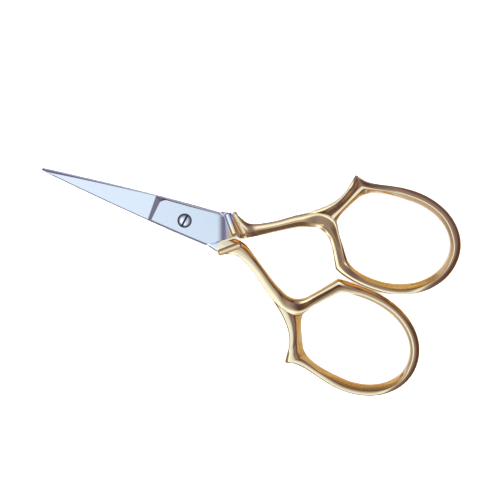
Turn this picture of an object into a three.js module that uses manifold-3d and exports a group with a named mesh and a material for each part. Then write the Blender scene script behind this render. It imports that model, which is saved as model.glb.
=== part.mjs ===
// Embroidery scissors with gilt handles, closed and lying flat. Millimetres, +Z up.
// +X runs from the blade tips to the finger bows. The two halves are one forging: the back half is
// the front half turned half a turn about the X axis, and a slotted screw holds them together.
// Places in plan are measured from the pivot along x and from the line between the halves along y.

import * as THREE from 'three';
import { mergeVertices } from 'three/addons/utils/BufferGeometryUtils.js';
import Module from 'manifold-3d';

const wasm = await Module();
wasm.setup();

// Whole scissors
const bladeLength = 32; // pivot to the blade tips
const handleLength = 56.75; // pivot to the far end of the bows
const handleThickness = 3.3; // collar, shank and bow, from top to bottom
const platingX = 8.5; // line across the collar where the gold plate starts

// Blade, seen in plan: the spine of one blade and the cutting edge of the other lie on the same side
const spineAtTip = 0.3;
const spineAtHeel = 3.85;
const spineBulge = 0.25; // how far the spine swells past a straight line
const edgeAtTip = 0.1;
const edgeAtShoulder = 2.62;
const edgeAtHeel = 3.25;
const heelX = 6.2; // rear corner of the flat round the pivot
const bladeThickness = 1.6; // the flat round the pivot
const groundThickness = 1.1; // ground blade, at the shoulder
const tipThickness = 0.5;
const tangThickness = 1.2; // under the collar
const bladeGap = 0.1; // between the mating faces of the two blades
const edgeBevel = 0.2; // plan width of the cutting bevel
const flatBevel = 0.45; // plan width of the bevel along the flat
const spineChamfer = 0.3;
const tipShare = 0.1; // bevel and chamfer at the point, as a share of their full width
const groundSteps = 6; // cross-sections along the ground blade
const shoulderX = -7.4; // foot of the ramp between the ground blade and the flat
const shoulderRamp = 1.1;
const borderX = 7.56; // rear border of the flat, where it crosses the middle line
const borderLean = 0.4; // the border leans this far back for each millimetre below the middle line
const borderRamp = 0.5;

// Lap joint and pivot screw
const lapHeelY = 3.75; // where the lap line starts, at the heel
const lapEndX = 11.2; // where the lap line meets the middle line, at the crotch
const lapClearance = 0.15;
const pivotOffset = 0.35; // the pivot lies this far below the middle line of the blades
const bladeLean = 1.35; // degrees between the middle line of the blades and that of the handles
const headRadius = 1.35;
const headThickness = 0.7;
const headChamfer = 0.12;
const headClearance = 0.15; // ring of shadow round the screw head
const headRecess = 0.03;
const neckRadius = 0.9;
const threadRadius = 0.75;
const boreClearance = 0.05;
const endRecess = 0.1; // the screw's end lies this far inside the back face
const slotWidth = 0.45;
const slotDepth = 0.35;
const slotAngle = 83; // degrees from the X axis

// Collar: two raised rings round the root of the shank
const ringWidth = 0.95;
const ringEndScale = 0.7; // a ring's height and width at its two ends
const firstRingOuter = [7.5, 4.05];
const firstRingInner = [10.75, 0.25];
const secondRingOuter = [8.95, 4.65];
const secondRingInner = [12.5, 1.15];
const collarThickness = 2.5; // between the rings
const neckThickness = 3.0;

// Shank: its upper and lower edge in plan, from the collar to the lower corner of the bow
const rootUpper = [6.3, 3.8];
const rootLower = [10.3, 0.1];
const collarUpper = [9.6, 4.45];
const collarLower = [12.3, 0.0];
const neckUpper = [12.9, 3.7];
const neckLower = [14.0, 0.85];
const shankUpper = [17.5, 5.85];
const shankLower = [18.6, 3.8];
const bendUpper = [22.3, 9.25];
const bendLower = [23.4, 6.7];
const forkUpper = [26.2, 10.95];
const forkLower = [26.6, 7.8];
const eyeUpper = [29.45, 11.2]; // the sharp corner of the bow's opening
const eyeLower = [28.9, 7.3];
const armUpper = [31.65, 7.95];
const armLower = [30.7, 5.6];
const cornerUpper = [34.6, 4.55];
const cornerLower = [33.3, 1.2];
const shankSteps = 4; // between each two places along the shank

// Bow: an egg-shaped bar from the lower corner round to the upper arm
const bowGap = 0.1; // between the two bows when the scissors are closed
const bowContactY = -0.35; // the bows close against each other this far off the middle line
const bowTopY = 22.35; // middle line to the outer side of the bow
const bowBar = 2.25;
const bowFootX = 41.2; // where the bow is lowest
const bowTopX = 43.7; // where it is highest
const bowEndY = 12.0; // where it reaches furthest back
const bowRound = 0.57; // fullness of the quarter curves, 0.55 is a plain ellipse
const upperArmTop = [32.4, 16.6];
const upperArmFoot = [29.3, 10.4];
const cornerReach = [1.0, -1.35]; // how far the corner's inner side carries on before it bends into the bow
const cornerEase = 0.5; // share of that drop on the outer side
const footReach = 3.2; // how flat the bow leaves its lowest point
const topReach = 5.5; // and its highest point
const shoulderRise = [1.5, 2.8]; // how far the bow's inner side rises over the upper arm before it bends
const shoulderEase = 1.2; // share of that rise on the outer side
const footSteps = 8;
const quarterSteps = 14;
const shoulderSteps = 10;
const armSteps = 3;

// Finial: a horn that rises along the upper arm to a blunt point
const hornRoot = { outer: [23.2, 9.6], inner: [26.4, 9.0] };
const hornLow = { outer: [26.3, 12.2], inner: [28.6, 11.3] };
const hornMiddle = { outer: [28.5, 14.8], inner: [30.4, 14.3] };
const hornHigh = { outer: [29.6, 17.2], inner: [31.6, 16.6] };
const hornShoulder = { outer: [29.95, 19.1], inner: [32.9, 19.0] };
const hornNeck = { outer: [30.0, 20.3], inner: [32.2, 20.45] };
const hornTip = { outer: [30.2, 21.1], inner: [30.8, 21.05] };
const hornSteps = 3; // between each two places along the horn
const hornRim = { at: 0.16, height: 0.9 }; // crest of the rim, as shares of the width and the half thickness
const hornHollow = { at: 0.45, height: 0.5 }; // where the rim has sunk to the hollow behind it
const hornWall = 0.45; // upright outer side, share of the half thickness

const matingZ = bladeGap / 2;
const faceZ = matingZ + bladeThickness;
const far = 2 * (bladeLength + handleLength); // longer than anything in the model
const roundSides = 36;

// A closed surface through rings of points, each with the same number of corners. The section is a
// ring's outline in two dimensions, counter-clockwise, and closes the two ends.
function loft(rings, section) {
  const corners = section.length;
  const positions = rings.flat().flatMap((point) => [point.x, point.y, point.z]);
  const triangles = [];
  const end = (rings.length - 1) * corners;
  for (let start = 0; start < end; start += corners) {
    for (let corner = 0; corner < corners; corner++) {
      const after = (corner + 1) % corners;
      const [a, b] = [start + corner, start + after];
      const [c, d] = [start + corners + after, start + corners + corner];
      triangles.push(a, b, c, a, c, d);
    }
  }
  for (const [a, b, c] of THREE.ShapeUtils.triangulateShape(section, [])) {
    triangles.push(c, b, a, end + a, end + b, end + c);
  }
  const geometry = new THREE.BufferGeometry();
  geometry.setAttribute('position', new THREE.Float32BufferAttribute(positions, 3));
  geometry.setIndex(triangles);
  return geometry;
}

// A solid for joining and cutting, with its faces pointing outwards.
function solid(geometry) {
  geometry.deleteAttribute('normal');
  geometry.deleteAttribute('uv');
  const merged = mergeVertices(geometry);
  const positions = merged.attributes.position.array;
  const triangles = Uint32Array.from(merged.index.array);
  const corner = (index) => new THREE.Vector3().fromArray(positions, 3 * index);
  let volume = 0;
  for (let i = 0; i < triangles.length; i += 3) {
    const [a, b, c] = [corner(triangles[i]), corner(triangles[i + 1]), corner(triangles[i + 2])];
    volume += a.dot(b.cross(c));
  }
  if (volume < 0) triangles.reverse();
  return new wasm.Manifold(new wasm.Mesh({ numProp: 3, vertProperties: positions, triVerts: triangles }));
}

function meshOf(body, name, material) {
  const { vertProperties, triVerts } = body.getMesh();
  const geometry = new THREE.BufferGeometry();
  geometry.setAttribute('position', new THREE.BufferAttribute(vertProperties, 3));
  geometry.setIndex(new THREE.BufferAttribute(triVerts, 1));
  geometry.computeVertexNormals();
  const mesh = new THREE.Mesh(geometry, material);
  mesh.name = name;
  return mesh;
}

// A block that fills one side of a line in plan, between two heights. The line runs from start to
// end, and the block lies on its right.
function sideBlock(start, end, lowZ, highZ) {
  const block = new THREE.BoxGeometry(far, far, highZ - lowZ);
  block.translate(0, -far / 2, (lowZ + highZ) / 2);
  block.rotateZ(Math.atan2(end.y - start.y, end.x - start.x));
  block.translate(start.x, start.y, 0);
  return solid(block);
}

function cylinder(radius, lowZ, highZ, x, y) {
  const round = new THREE.CylinderGeometry(radius, radius, highZ - lowZ, roundSides);
  round.rotateX(Math.PI / 2);
  round.translate(x, y, (lowZ + highZ) / 2);
  return solid(round);
}

const plan = ([x, y]) => new THREE.Vector3(x, y, 0);

// The cross-section of every forged bar: a ridge along the top and the bottom, with sloping sides.
// u runs from 0 at one edge to 1 at the other, v is a share of half the thickness.
const ridgeFlat = 0.24;
const wallShare = 0.5;
const ridgedSection = [
  [0, -wallShare], [0.5 - ridgeFlat / 2, -1], [0.5 + ridgeFlat / 2, -1], [1, -wallShare],
  [1, wallShare], [0.5 + ridgeFlat / 2, 1], [0.5 - ridgeFlat / 2, 1], [0, wallShare],
].map(([u, v]) => new THREE.Vector2(u, v));

// The horn's cross-section: a rim along the outer edge and a hollow behind it.
const hornSection = [
  [0, -hornWall],
  [hornRim.at, -hornRim.height],
  [hornHollow.at, -hornHollow.height],
  [1, -hornHollow.height],
  [1, hornHollow.height],
  [hornHollow.at, hornHollow.height],
  [hornRim.at, hornRim.height],
  [0, hornWall],
].map(([u, v]) => new THREE.Vector2(u, v));

// A bar between two edges in plan. Each station gives a point of both edges and the thickness there.
function bar(stations, section) {
  const rings = stations.map(({ first, second, thickness }) =>
    section.map(({ x: u, y: v }) => {
      const point = first.clone().lerp(second, u);
      point.z = (v * thickness) / 2;
      return point;
    }),
  );
  return solid(loft(rings, section));
}

// Stations along smooth curves through the given places, the same number of steps between each two.
function smoothStations(places, stepsBetween) {
  const firstEdge = new THREE.CatmullRomCurve3(places.map((place) => plan(place.first)));
  const secondEdge = new THREE.CatmullRomCurve3(places.map((place) => plan(place.second)));
  const count = (places.length - 1) * stepsBetween;
  return Array.from({ length: count + 1 }, (_, step) => {
    const t = step / count;
    const before = Math.floor(step / stepsBetween);
    const after = Math.min(before + 1, places.length - 1);
    const share = (step % stepsBetween) / stepsBetween;
    const thickness = THREE.MathUtils.lerp(places[before].thickness, places[after].thickness, share);
    return { first: firstEdge.getPoint(t), second: secondEdge.getPoint(t), thickness };
  });
}

// Stations along matching Bezier curves, one for each edge, without the first one.
function curveStations(firstCurve, secondCurve, steps) {
  return Array.from({ length: steps }, (_, step) => {
    const t = (step + 1) / steps;
    return { first: firstCurve.getPoint(t), second: secondCurve.getPoint(t), thickness: handleThickness };
  });
}

const cubic = (...points) => new THREE.CubicBezierCurve3(...points.map(plan));

// A quarter of the egg shape: it leaves start along the first direction and reaches end along the other.
function quarter(start, end, startsLevel) {
  const [dx, dy] = [end[0] - start[0], end[1] - start[1]];
  const level = [start[0] + bowRound * dx, start[1]];
  const upright = [start[0], start[1] + bowRound * dy];
  const levelEnd = [end[0] - bowRound * dx, end[1]];
  const uprightEnd = [end[0], end[1] - bowRound * dy];
  return startsLevel ? cubic(start, level, uprightEnd, end) : cubic(start, upright, levelEnd, end);
}

// Shank and bow are one bar: out of the collar, down the lower arm, round the corner and the bow,
// and back along the upper arm into the fork. Its foot closes against the other bow at closingY.
function handleBar(closingY) {
  const foot = closingY + bowGap / 2;
  const lowered = ([x, y]) => [x, y + closingY];
  const innerCorner = lowered(cornerUpper);
  const outerCorner = lowered(cornerLower);
  const shank = smoothStations([
    { first: rootUpper, second: rootLower, thickness: collarThickness },
    { first: collarUpper, second: collarLower, thickness: collarThickness },
    { first: neckUpper, second: neckLower, thickness: neckThickness },
    { first: shankUpper, second: shankLower, thickness: handleThickness },
    { first: bendUpper, second: bendLower, thickness: handleThickness },
    { first: forkUpper, second: forkLower, thickness: handleThickness },
    { first: eyeUpper, second: eyeLower, thickness: handleThickness },
    { first: armUpper, second: armLower, thickness: handleThickness },
    { first: innerCorner, second: outerCorner, thickness: handleThickness },
  ], shankSteps);

  const innerFoot = [bowFootX, foot + bowBar];
  const outerFoot = [bowFootX, foot];
  const innerEnd = [handleLength - bowBar, bowEndY];
  const outerEnd = [handleLength, bowEndY];
  const innerTop = [bowTopX, bowTopY - bowBar];
  const outerTop = [bowTopX, bowTopY];
  const armSide = new THREE.Vector2(upperArmFoot[0] - upperArmTop[0], upperArmFoot[1] - upperArmTop[1]);
  armSide.normalize().multiplyScalar(bowBar);
  const outwards = ([x, y]) => [x + armSide.y, y - armSide.x];
  const moved = ([x, y], [dx, dy], share) => [x + dx, y + share * dy];
  const outerArmTop = outwards(upperArmTop);
  const footStart = bowFootX - footReach;
  const topStart = bowTopX - topReach;

  const bow = [
    curveStations(
      cubic(innerCorner, moved(innerCorner, cornerReach, 1), [footStart, foot + bowBar], innerFoot),
      cubic(outerCorner, moved(outerCorner, cornerReach, cornerEase), [footStart, foot], outerFoot),
      footSteps),
    curveStations(quarter(innerFoot, innerEnd, true), quarter(outerFoot, outerEnd, true), quarterSteps),
    curveStations(quarter(innerEnd, innerTop, false), quarter(outerEnd, outerTop, false), quarterSteps),
    curveStations(
      cubic(innerTop, [topStart, bowTopY - bowBar], moved(upperArmTop, shoulderRise, 1), upperArmTop),
      cubic(outerTop, [topStart, bowTopY], moved(outerArmTop, shoulderRise, shoulderEase), outerArmTop),
      shoulderSteps),
    curveStations(
      new THREE.LineCurve3(plan(upperArmTop), plan(upperArmFoot)),
      new THREE.LineCurve3(plan(outerArmTop), plan(outwards(upperArmFoot))),
      armSteps),
  ];
  return bar([...shank, ...bow.flat()], ridgedSection);
}

function horn() {
  const places = [hornRoot, hornLow, hornMiddle, hornHigh, hornShoulder, hornNeck, hornTip];
  const thickness = handleThickness;
  const stations = places.map(({ outer, inner }) => ({ first: outer, second: inner, thickness }));
  return bar(smoothStations(stations, hornSteps), hornSection);
}

function collarRing(outer, inner) {
  const along = plan(inner).sub(plan(outer)).normalize();
  const across = new THREE.Vector3(-along.y, along.x, 0).multiplyScalar(ringWidth / 2);
  const inset = ringWidth / 2;
  const length = plan(inner).distanceTo(plan(outer));
  const station = (distance, scale) => {
    const centre = plan(outer).addScaledVector(along, distance);
    return {
      first: centre.clone().addScaledVector(across, scale),
      second: centre.clone().addScaledVector(across, -scale),
      thickness: handleThickness * scale,
    };
  };
  return bar([
    station(0, ringEndScale),
    station(inset, 1),
    station(length - inset, 1),
    station(length, ringEndScale),
  ], ridgedSection);
}

// Blade, flat and tang: cross-sections along x, lying on the mating face.
function bladePlate() {
  const { lerp } = THREE.MathUtils;
  const along = (x, from, to) => (x - from) / (to - from);
  const spine = (x) => {
    const t = along(x, -bladeLength, heelX);
    return lerp(spineAtTip, spineAtHeel, t) + 4 * spineBulge * t * (1 - t);
  };
  const groundEdge = (x) => lerp(edgeAtTip, edgeAtShoulder, along(x, -bladeLength, shoulderX));
  const flatEdge = (x) => lerp(edgeAtShoulder, edgeAtHeel, along(x, shoulderX, heelX));
  const crossSection = (x, edge, thickness, bevel, chamfer, lean = 0) => [
    [-spine(x), 0],
    [edge(x), 0],
    [edge(x) - bevel, thickness],
    [-spine(x) + chamfer, thickness],
    [-spine(x), thickness - chamfer],
  ].map(([y, z]) => new THREE.Vector3(x - lean * y, y, matingZ + z));
  const ground = Array.from({ length: groundSteps + 1 }, (_, step) => {
    const t = step / groundSteps;
    const x = lerp(-bladeLength, shoulderX, t);
    const thickness = lerp(tipThickness, groundThickness, t);
    const share = lerp(tipShare, 1, t);
    return crossSection(x, groundEdge, thickness, share * edgeBevel, share * spineChamfer);
  });
  const rings = [
    ...ground,
    crossSection(shoulderX + shoulderRamp, flatEdge, bladeThickness, flatBevel, spineChamfer),
    crossSection(0, flatEdge, bladeThickness, flatBevel, spineChamfer),
    crossSection(borderX, flatEdge, bladeThickness, flatBevel, spineChamfer, borderLean),
    crossSection(borderX + borderRamp, flatEdge, tangThickness, flatBevel, spineChamfer, borderLean),
    crossSection(lapEndX, flatEdge, tangThickness, flatBevel, spineChamfer, borderLean),
  ];
  const section = rings[0].map(({ y, z }) => new THREE.Vector2(y, z));
  return loft(rings, section);
}

// Both blades lean to the same side, so seen from its own face each half leans its own way. The line
// where the bows close follows the same rule: side is 1 for the front half and -1 for the back half,
// which is turned over.
function leaning(side) {
  const turn = new THREE.Matrix4().makeRotationZ(side * THREE.MathUtils.degToRad(bladeLean));
  const crotch = new THREE.Matrix4().makeTranslation(lapEndX, 0, 0);
  return crotch.clone().multiply(turn).multiply(crotch.clone().invert());
}

const pivot = new THREE.Vector3(0, -pivotOffset, 0).applyMatrix4(leaning(1));

// One half, with the screw's hole still to be drilled.
function forging(side) {
  const lapStart = new THREE.Vector3(heelX, -lapHeelY, 0);
  const lapEnd = new THREE.Vector3(lapEndX, 0, 0);
  const beyondLap = sideBlock(lapStart, lapEnd, -far, far);
  const otherStart = new THREE.Vector3(heelX, lapHeelY, 0);
  const shift = new THREE.Vector3(lapHeelY, lapEndX - heelX, 0).normalize().multiplyScalar(lapClearance);
  const otherBlade = sideBlock(otherStart.add(shift), lapEnd.clone().add(shift), -far, matingZ);
  const closingY = side * bowContactY;
  const closing = new THREE.Vector3(0, closingY + bowGap / 2, 0);
  const otherHandle = sideBlock(closing, closing.clone().setX(far), -far, far);
  const handle = handleBar(closingY)
    .add(horn())
    .add(collarRing(firstRingOuter, firstRingInner))
    .add(collarRing(secondRingOuter, secondRingInner))
    .subtract(otherBlade)
    .subtract(otherHandle);
  return solid(bladePlate().applyMatrix4(leaning(side))).subtract(beyondLap).add(handle);
}

// The gold-plated part of a half lies beyond the plating line, the bright steel part before it.
function split(half) {
  const line = new THREE.Vector3(platingX, 0, 0);
  const gilt = sideBlock(line, line.clone().setY(far), -far, far);
  return { blade: half.subtract(gilt), handle: half.intersect(gilt) };
}

const steel = new THREE.MeshStandardMaterial({ color: 0xdde6ee, metalness: 1, roughness: 0.12 });
const gold = new THREE.MeshStandardMaterial({ color: 0xd9ae5f, metalness: 1, roughness: 0.15 });
const screwSteel = new THREE.MeshStandardMaterial({ color: 0xc9ccd2, metalness: 1, roughness: 0.25 });

// Front half: counterbored for the screw head, with a running hole for its neck.
const seatZ = faceZ - headThickness - headRecess - boreClearance;
const frontHalf = forging(1)
  .subtract(cylinder(headRadius + headClearance, seatZ, far, pivot.x, pivot.y))
  .subtract(cylinder(neckRadius + boreClearance, -far, far, pivot.x, pivot.y));
const front = split(frontHalf);
const frontGroup = new THREE.Group();
frontGroup.add(meshOf(front.blade, 'front_blade', steel), meshOf(front.handle, 'front_handle', gold));

// Back half: turned over, and drilled for the screw's thread.
const backHalf = forging(-1).subtract(cylinder(threadRadius + boreClearance, -far, far, pivot.x, -pivot.y));
const back = split(backHalf);
const backGroup = new THREE.Group();
backGroup.rotation.x = Math.PI;
backGroup.add(meshOf(back.blade, 'back_blade', steel), meshOf(back.handle, 'back_handle', gold));

// Pivot screw: turned profile from the thread's end up to the slotted head.
function pivotScrew() {
  const endZ = -faceZ + endRecess;
  const shoulderZ = -matingZ + boreClearance;
  const underHeadZ = seatZ + boreClearance;
  const topZ = underHeadZ + headThickness;
  const profile = [
    [0, endZ], [threadRadius, endZ], [threadRadius, shoulderZ], [neckRadius, shoulderZ],
    [neckRadius, underHeadZ], [headRadius, underHeadZ], [headRadius, topZ - headChamfer],
    [headRadius - headChamfer, topZ], [0, topZ],
  ].map(([radius, z]) => new THREE.Vector2(radius, z));
  const turned = new THREE.LatheGeometry(profile, roundSides);
  turned.rotateX(Math.PI / 2);
  const slotLength = 3 * headRadius; // runs out past the head at both ends
  const slot = new THREE.BoxGeometry(slotLength, slotWidth, 2 * slotDepth);
  slot.rotateZ(THREE.MathUtils.degToRad(slotAngle));
  slot.translate(0, 0, topZ);
  return solid(turned).subtract(solid(slot));
}

const screw = meshOf(pivotScrew(), 'pivot_screw', screwSteel);
screw.position.set(pivot.x, pivot.y, 0);

// The origin lies under the middle of the closed scissors.
const scissors = new THREE.Group();
scissors.add(frontGroup, backGroup, screw);
const box = new THREE.Box3().setFromObject(scissors);
scissors.position.set(-(box.min.x + box.max.x) / 2, -(box.min.y + box.max.y) / 2, -box.min.z);

export default scissors;
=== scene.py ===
# Embroidery scissors with gilt handles, closed and lying flat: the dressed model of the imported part.
# Places in plan are millimetres from the pivot along x and from the line between the handles along y,
# heights are millimetres from the plane between the two halves.

import math

import bpy
import numpy as np
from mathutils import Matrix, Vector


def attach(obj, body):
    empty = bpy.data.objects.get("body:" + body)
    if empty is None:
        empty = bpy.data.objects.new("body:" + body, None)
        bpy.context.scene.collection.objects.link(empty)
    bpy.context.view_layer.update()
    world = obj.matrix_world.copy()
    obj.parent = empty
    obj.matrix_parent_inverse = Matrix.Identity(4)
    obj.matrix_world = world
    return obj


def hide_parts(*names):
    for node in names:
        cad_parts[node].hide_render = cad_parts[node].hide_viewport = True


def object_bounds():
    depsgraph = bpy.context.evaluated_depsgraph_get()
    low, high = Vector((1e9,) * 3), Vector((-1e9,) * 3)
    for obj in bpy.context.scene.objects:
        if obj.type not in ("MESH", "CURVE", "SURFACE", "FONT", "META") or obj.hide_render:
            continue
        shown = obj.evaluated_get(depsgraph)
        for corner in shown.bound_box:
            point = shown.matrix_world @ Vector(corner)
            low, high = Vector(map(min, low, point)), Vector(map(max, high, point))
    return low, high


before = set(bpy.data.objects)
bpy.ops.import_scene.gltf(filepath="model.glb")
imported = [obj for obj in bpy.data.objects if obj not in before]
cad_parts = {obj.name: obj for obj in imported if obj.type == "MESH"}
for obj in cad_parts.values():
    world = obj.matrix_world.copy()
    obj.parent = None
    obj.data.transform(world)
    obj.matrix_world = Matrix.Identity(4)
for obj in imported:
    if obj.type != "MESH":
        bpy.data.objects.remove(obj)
cad_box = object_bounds()

# Blades
# Each blade is one end of a forged steel half: a slim ground blade, a shoulder, and the thick flat that
# the pivot screw goes through. It is ground, polished to a mirror and nickel plated. The front half lies
# on the back half, which is the same forging turned over.
MM = 0.001
HANDLE_LENGTH = 56.75  # pivot to the far end of the bows
BLADE_LENGTH = 32.0  # pivot to the blade tips
HALF_THICKNESS = 1.65  # half of the closed scissors
MATING_Z = 0.05  # half of the gap between the mating faces
BLADE_THICKNESS = HALF_THICKNESS - MATING_Z  # the flat round the pivot
GROUND_THICKNESS, TIP_THICKNESS = 1.1, 0.45  # the ground blade at its shoulder and at its tip
TIP_SPINE, HEEL_SPINE, SPINE_BULGE = 0.3, 3.85, 0.25  # spine from the blade's middle line
TIP_EDGE, SHOULDER_EDGE, HEEL_EDGE = 0.1, 2.62, 3.25  # cutting edge from the blade's middle line
TIP_LAND, LAND_GROWTH = 0.02, 0.03  # strip along the edge between the bevel and the mating face
EDGE_BEVEL, TIP_BEVEL, FLAT_BEVEL = 0.07, 0.5, 0.23  # width of the bevel, and what tip and flat add to it
BEVEL_SLOPE, BEVEL_LIMIT = 0.45, 0.7  # the limits are shares of the blade's width
SPINE_CHAMFER, FLAT_CHAMFER = 0.22, 0.2  # chamfer of the spine, and what the flat adds to it
CHAMFER_SLOPE, CHAMFER_LIMIT = 0.5, 0.2
TIP_INNER_CHAMFER, HEEL_INNER_CHAMFER = 0.28, 0.75  # between the spine and the mating face
TIP_INNER_SLOPE, HEEL_INNER_SLOPE = 0.16, 0.3
HOLLOW_DEPTH = 0.07  # hollow grinding of the mating face
HOLLOW_END = 1.25  # where that would run out, as a share of the ground blade
HEEL_X, LAP_HEEL_Y = 6.2, 3.75  # the heel, where the end of the lap starts
LAP_END_X = 11.2  # the crotch of the handles, which it runs to
LAP_CORNER, LAP_CORNER_LEAN = 0.16, 1.0  # the corner ground off along the end of the lap
BORDER_X, BORDER_LEAN = 7.3, 0.36  # end of the flat
BORDER_RAMP, RAMP_SLOPE = 1.5, 0.55  # the rounded ramp down to the collar
TANG_SLOPE = 0.2  # the tang after the ramp
BLADE_LEAN = 1.35  # degrees between the middle line of the blades and that of the handles
PIVOT_OFFSET = 0.35  # of the screw from the middle line of the blades
SHOULDER_X, FLAT_X, SHOULDER_LEAN = -7.4, -6.35, 0.12  # foot and top of the shoulder
CORNER_CUT, CORNER_LENGTH = 0.75, 1.15  # the flat's corner at the shoulder is ground round
CORNER_STATIONS = (0.0, 0.25, 0.65)  # cross-sections along that corner, from the top of the shoulder
GROUND_STATIONS, FLAT_STATIONS, RAMP_STATIONS = 40, 33, 7
MATING_POINTS = 9  # of each cross-section
FAR = 200.0  # longer than anything in the model

row_origin = np.array([cad_box[1][0] - HANDLE_LENGTH * MM, 0.0, HALF_THICKNESS * MM])


def placed(points, side):
    """Plan millimetres to the row's metres. Side -1 first turns the half over about the x axis."""
    return points * np.array([1.0, side, side]) * MM + row_origin


def between(low, high, x):
    """How far x has come from low to high, 0 to 1."""
    return np.clip((x - low) / (high - low), 0.0, 1.0)


def leaned(points, side):
    """Turns the points in plan by the lean of the blades, about the crotch where the handles part."""
    turn = side * math.radians(BLADE_LEAN)
    x = points[..., 0] - LAP_END_X
    y = points[..., 1]
    along = LAP_END_X + x * math.cos(turn) - y * math.sin(turn)
    across = x * math.sin(turn) + y * math.cos(turn)
    return np.stack([along, across, points[..., 2]], axis=-1)


def facing_out(piece):
    """Turns a closed mesh so that its faces point outwards: the sum of signed cone volumes is positive."""
    mesh = piece.data
    mesh.calc_loop_triangles()
    corners = np.empty(3 * len(mesh.loop_triangles), dtype=np.int32)
    mesh.loop_triangles.foreach_get("vertices", corners)
    points = np.empty(3 * len(mesh.vertices))
    mesh.vertices.foreach_get("co", points)
    a, b, c = np.moveaxis(points.reshape(-1, 3)[corners].reshape(-1, 3, 3), 1, 0)
    if np.einsum("ij,ij->", a, np.cross(b, c)) < 0:
        mesh.flip_normals()
    return piece


def closed_loft(name, rings):
    """A closed mesh from rings of points (stations, points, xyz): a quad between each four neighbours, the
    last point of a ring joined to its first, and a fan round the middle of the first and the last ring."""
    stations, around = rings.shape[:2]
    ends = rings[[0, -1]].mean(axis=1)
    vertices = np.concatenate([rings.reshape(-1, 3), ends])
    here = np.arange(around)
    after = np.roll(here, -1)
    row = np.arange(stations - 1)[:, None] * around
    sides = np.stack([row + here, row + after, row + around + after, row + around + here], axis=-1)
    first = len(vertices) - 2
    last_row = (stations - 1) * around
    head = np.stack([after, here, np.full(around, first)], axis=-1)
    foot = np.stack([last_row + here, last_row + after, np.full(around, first + 1)], axis=-1)
    faces = sides.reshape(-1, 4).tolist() + head.tolist() + foot.tolist()
    mesh = bpy.data.meshes.new(name)
    mesh.from_pydata(vertices.tolist(), [], faces)
    piece = bpy.data.objects.new(name, mesh)
    bpy.context.scene.collection.objects.link(piece)
    return facing_out(piece)


def combined(piece, tool, operation, keep_tool=False):
    """Joins the tool to the piece (UNION), or cuts the piece with it (DIFFERENCE, INTERSECT), for good."""
    change = piece.modifiers.new("change", "BOOLEAN")
    change.operation = operation
    change.solver = "MANIFOLD"
    change.object = tool
    graph = bpy.context.evaluated_depsgraph_get()
    mesh = bpy.data.meshes.new_from_object(piece.evaluated_get(graph))
    piece.modifiers.clear()
    piece.data = mesh
    if not keep_tool:
        bpy.data.objects.remove(tool)


def turned(name, profile, centre, side, steps=48):
    """A turned solid about an upright axis: a profile of (radius, height) carried round a circle."""
    profile = np.array(profile)
    angle = np.linspace(0.0, 2.0 * np.pi, steps, endpoint=False)
    radius = profile[:, 0, None]
    height = np.broadcast_to(profile[:, 1, None], (len(profile), steps))
    x = centre[0] + radius * np.cos(angle)
    y = centre[1] + radius * np.sin(angle)
    return closed_loft(name, placed(np.stack([x, y, height], axis=-1), side))


def side_block(start, end, side, lean=0.0, level=0.0):
    """A block that fills everything on the right of a line in plan, seen from above the half's own face. Its
    left face leans over to the left by lean for each unit that it rises, and meets the line at the level."""
    start, end = np.array(start), np.array(end)
    along = (end - start) / np.linalg.norm(end - start)
    right = np.array([along[1], -along[0]])
    ends = start + np.array([[-FAR], [FAR]]) * along
    corners = [(lean * (FAR + level), -FAR), (2 * FAR, -FAR), (2 * FAR, FAR), (-lean * (FAR - level), FAR)]
    rings = [np.column_stack([ends + out * right, np.full(2, height)]) for out, height in corners]
    return closed_loft("side_block", placed(np.stack(rings, axis=1), side))


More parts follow.
